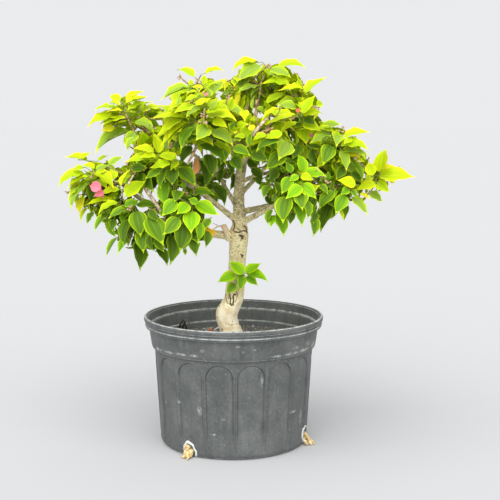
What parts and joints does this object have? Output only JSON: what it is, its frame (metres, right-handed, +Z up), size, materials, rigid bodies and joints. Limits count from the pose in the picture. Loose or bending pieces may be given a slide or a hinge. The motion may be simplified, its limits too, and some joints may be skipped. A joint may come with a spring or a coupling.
{
  "type": "bougainvillea in a nursery pot",
  "caption": "Young bougainvillea with a short tapering trunk, boughs and a full leafy crown, growing in a round black nursery pot.",
  "frame": {"origin": "centre of the pot's flat underside", "axes": "+Z up through the pot and the plant; -Y is the front, the side that bears the sprout"},
  "size_m": [0.5812, 0.4134, 0.6542],
  "materials": {
    "pot": "dusty satin",
    "soil": "loose and granular",
    "bark": "smooth pale bark",
    "old_bark": "speckled bark",
    "cut_wood": "dry cut wood",
    "root": "dry root",
    "leaf": "soft leaf with a slight sheen"
  },
  "bodies": {
    "root": {"pot": "pot", "soil": "soil", "trunk": "bark", "leader": "old_bark", "bough_left_low": "old_bark", "bough_right_front": "old_bark", "bough_left_upper": "old_bark", "bough_right_back": "old_bark", "bough_left_back": "old_bark", "bough_back": "old_bark", "branch_back_low": "old_bark", "branch_low_left": "old_bark", "branch_low_inner": "old_bark", "branch_upper_left": "old_bark", "branch_back_left": "old_bark", "branch_inner_left": "old_bark", "branch_inner_right": "old_bark", "branch_front_left": "old_bark", "branch_front_right": "old_bark", "branch_top_left": "old_bark", "bough_top": "old_bark", "bough_top_right": "old_bark", "branch_back_top": "old_bark", "branch_mid_right": "old_bark", "branch_low_right": "old_bark", "branch_far_back": "old_bark", "branch_right_back": "old_bark", "pruned_stub": "cut_wood", "dry_twig": "cut_wood", "foliage_far_left": "leaf", "foliage_upper_left": "leaf", "foliage_low_left": "leaf", "foliage_low_inner": "leaf", "foliage_mid_left": "leaf", "foliage_inner_left": "leaf", "foliage_centre_right": "leaf", "foliage_front_left": "leaf", "foliage_top_left": "leaf", "foliage_top": "leaf", "foliage_front_right": "leaf", "foliage_top_right": "leaf", "foliage_mid_right": "leaf", "foliage_far_right": "leaf", "foliage_low_right": "leaf", "foliage_low_far_right": "leaf", "foliage_back_left": "leaf", "foliage_back": "leaf", "foliage_back_right": "leaf", "foliage_far_back_right": "leaf", "foliage_back_low": "leaf", "foliage_back_top": "leaf", "foliage_inner_right": "leaf", "trunk_sprout": "leaf", "drain_root_left": "root", "drain_root_right": "root"}
  },
  "joints": []
}
